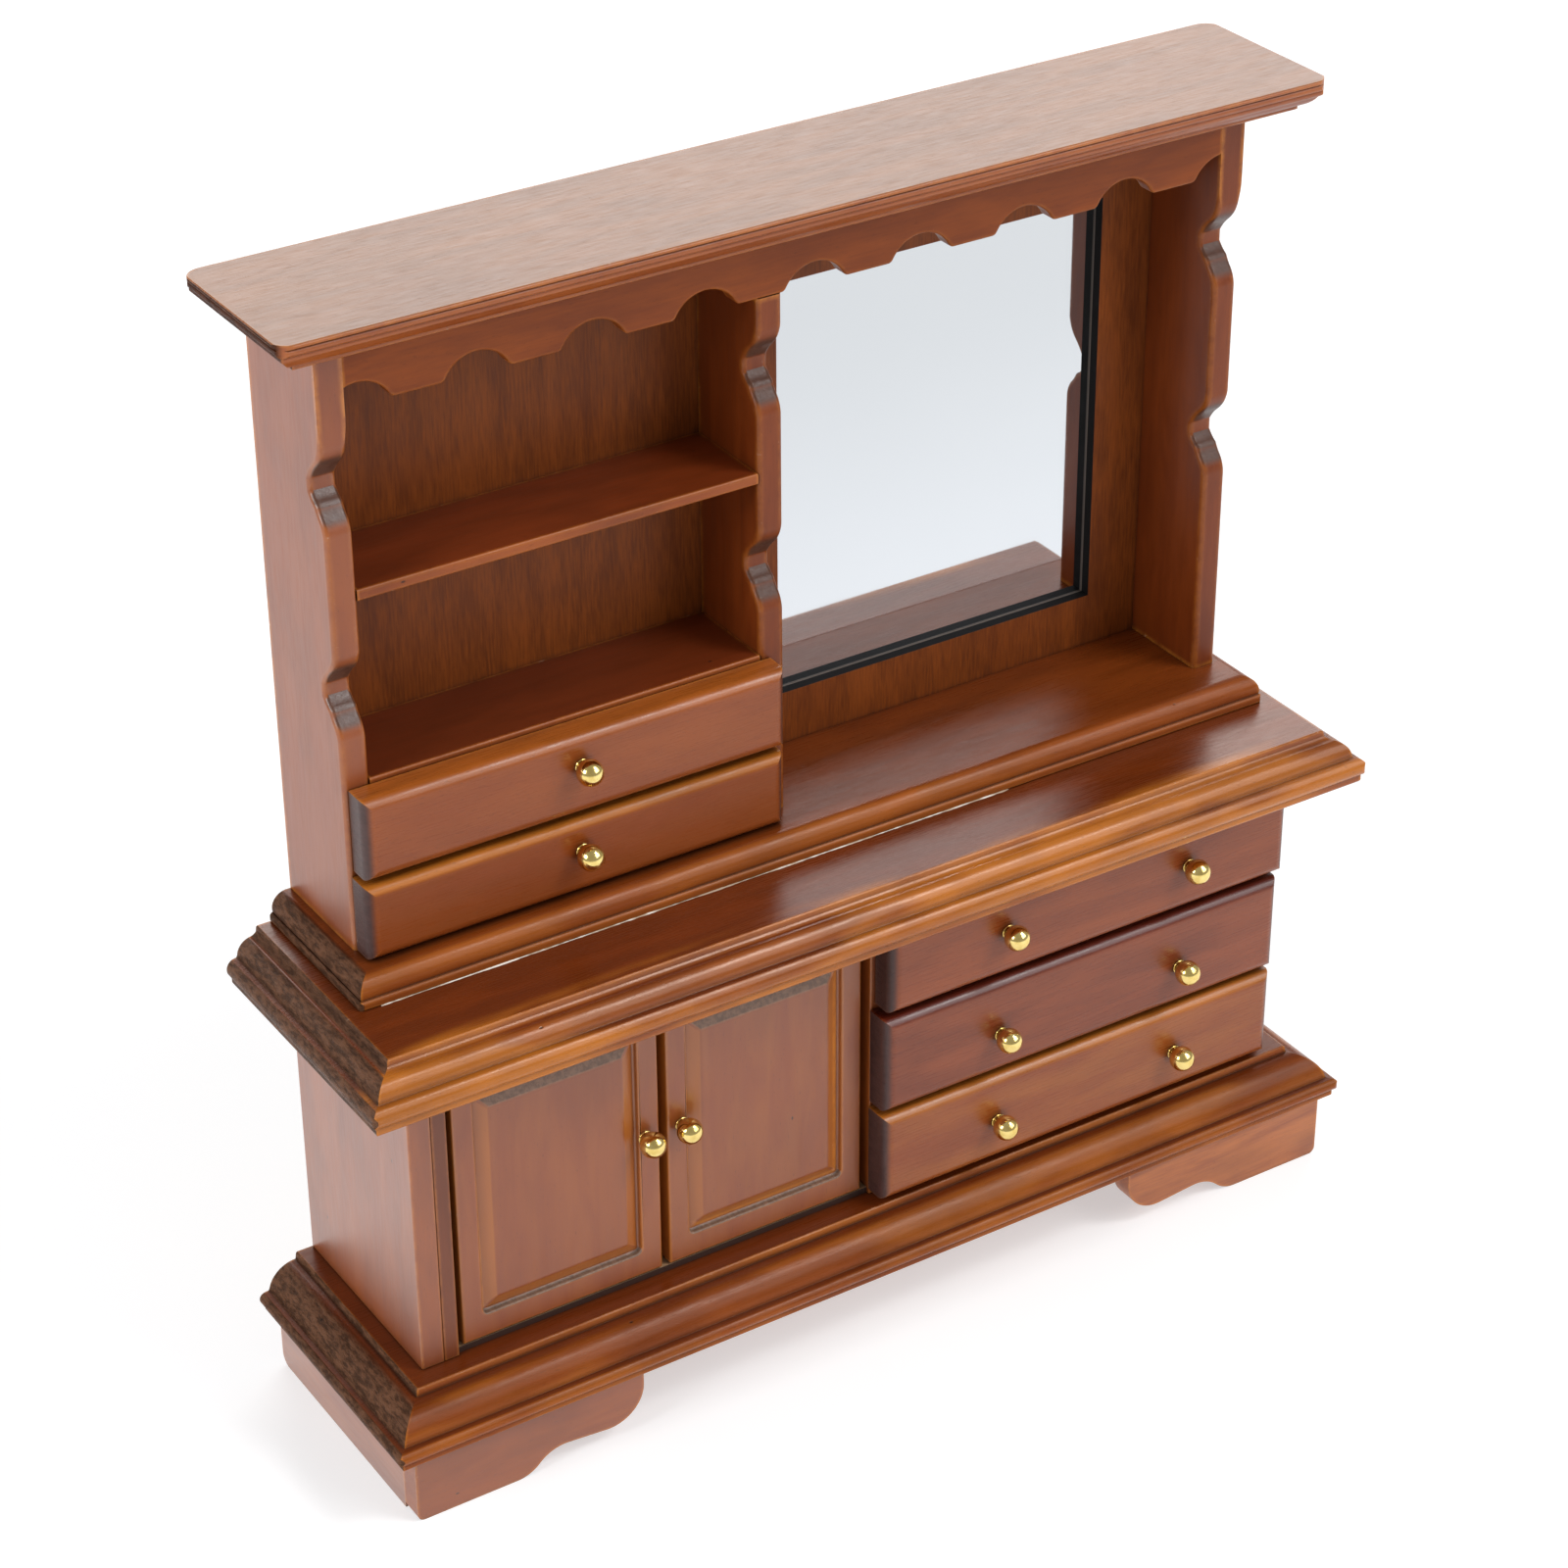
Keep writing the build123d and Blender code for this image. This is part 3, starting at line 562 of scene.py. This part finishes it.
def dried_glue():
    t = Tree("dried_glue")
    tone = t.noise(t.place(SAME, (3, 1, 4)), 0.35, 3.0)
    colour = t.mix(t.ramp(tone, 0.4, 0.6), GLUE_DARK, GLUE_LIGHT)
    return t.finish(Base_Color=colour, Roughness=0.45, Normal=t.bump(tone, 0.4, 0.05))


def glue_line():
    """A thin closed bead along the foot of the riser's front, its width changing along the way."""
    low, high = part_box("riser_board")
    left, right = low[0] + GLUE_FROM_LEFT * MM, high[0] - GLUE_FROM_RIGHT * MM
    front, foot = low[1], low[2]
    behind, sunk = front + 0.05 * MM, foot - 0.02 * MM
    shape = bmesh.new()
    rows = []
    for step in range(GLUE_STEPS + 1):
        x = left + (right - left) * step / GLUE_STEPS
        slow = noise.noise(Vector((x * 180, 3.0, 0.0)))
        quick = noise.noise(Vector((x * 900, 7.0, 0.0)))
        width = GLUE_WIDTH * MM * max(GLUE_THINNEST, min(1.0, 0.60 + slow + 0.5 * quick))
        ring = ((behind, sunk), (front - width, sunk), (front - 0.3 * width, foot + 0.5 * width),
                (behind, foot + 0.8 * width))
        rows.append([shape.verts.new((x, y, z)) for y, z in ring])
    for one, other in zip(rows, rows[1:]):
        for k in range(4):
            after = (k + 1) % 4
            shape.faces.new((one[k], one[after], other[after], other[k]))
    shape.faces.new(rows[0][::-1])
    shape.faces.new(rows[-1])
    bmesh.ops.recalc_face_normals(shape, faces=shape.faces)
    add_piece("glue_line", shape, dried_glue(), "case")


glue_line()


# ---- floor, light and camera ----
FLOOR_WIDTH = 8
WORLD_LIGHT = 0.38
MIDDLE = (0, 0, 0.1)
CAMERA_PLACE = (-0.25517, -0.39200, 0.36130)
CAMERA_AZIMUTH, CAMERA_ELEVATION, CAMERA_ROLL = -32.47, 30.979, 0.3325     # degrees
CAMERA_LENS, SENSOR_WIDTH = 92.04, 36.0


def make_floor():
    bpy.ops.mesh.primitive_grid_add(x_subdivisions=2, y_subdivisions=2, size=FLOOR_WIDTH)
    floor = bpy.context.object
    floor.name = "studio_floor"
    t = Tree("pale_paper")
    soft = t.noise(t.place(SAME, (1, 2, 3)), 0.02, 2.0)
    floor.data.materials.append(t.finish(
        Base_Color=t.mix(soft, (0.60, 0.605, 0.61), (0.62, 0.62, 0.62)), Roughness=0.9,
        Specular_IOR_Level=0.1, Emission_Color=(0.97, 0.985, 1.0), Emission_Strength=0.50))


def softbox(name, place, size, radiance, aim=MIDDLE):
    """A rectangular studio light. Its power follows from its area and how bright it looks."""
    data = bpy.data.lights.new(name, "AREA")
    data.shape, data.size, data.size_y = "RECTANGLE", size[0], size[1]
    data.energy = radiance * math.pi * size[0] * size[1]
    light = bpy.data.objects.new(name, data)
    light.location = place
    light.rotation_euler = (Vector(aim) - Vector(place)).to_track_quat("-Z", "Y").to_euler()
    bpy.context.scene.collection.objects.link(light)


def make_light():
    world = bpy.data.worlds.new("studio")
    world.use_nodes = True
    background = world.node_tree.nodes["Background"]
    background.inputs["Color"].default_value = (1.0, 1.0, 1.0, 1.0)
    background.inputs["Strength"].default_value = WORLD_LIGHT
    bpy.context.scene.world = world
    bpy.context.scene.view_settings.view_transform = "Standard"
    softbox("rear_softbox", place=(0.66, 1.03, 0.82), size=(1.1, 0.8), radiance=3.3, aim=(0, 0, 0.12))
    softbox("left_softbox", place=(-0.88, -0.12, 0.55), size=(0.34, 0.34), radiance=13.0)
    softbox("right_softbox", place=(0.56, -0.74, 0.62), size=(0.70, 0.50), radiance=3.0)
    softbox("high_softbox", place=(0.50, -0.56, 0.98), size=(0.31, 0.30), radiance=13.0)


def make_camera():
    azimuth, elevation, roll = map(math.radians, (CAMERA_AZIMUTH, CAMERA_ELEVATION, CAMERA_ROLL))
    right = Vector((math.cos(azimuth), math.sin(azimuth), 0))
    back = Vector((math.sin(azimuth) * math.cos(elevation),
                   -math.cos(azimuth) * math.cos(elevation), math.sin(elevation)))
    up = back.cross(right)
    tilted = math.cos(roll) * right - math.sin(roll) * up
    upright = math.sin(roll) * right + math.cos(roll) * up
    turn = Matrix((tilted, upright, back)).transposed().to_4x4()
    data = bpy.data.cameras.new("camera")
    data.lens, data.sensor_width = CAMERA_LENS, SENSOR_WIDTH
    data.clip_start, data.clip_end = 0.01, 20
    camera = bpy.data.objects.new("camera", data)
    camera.matrix_world = Matrix.Translation(CAMERA_PLACE) @ turn
    bpy.context.scene.collection.objects.link(camera)
    bpy.context.scene.camera = camera


make_floor()
make_light()
make_camera()
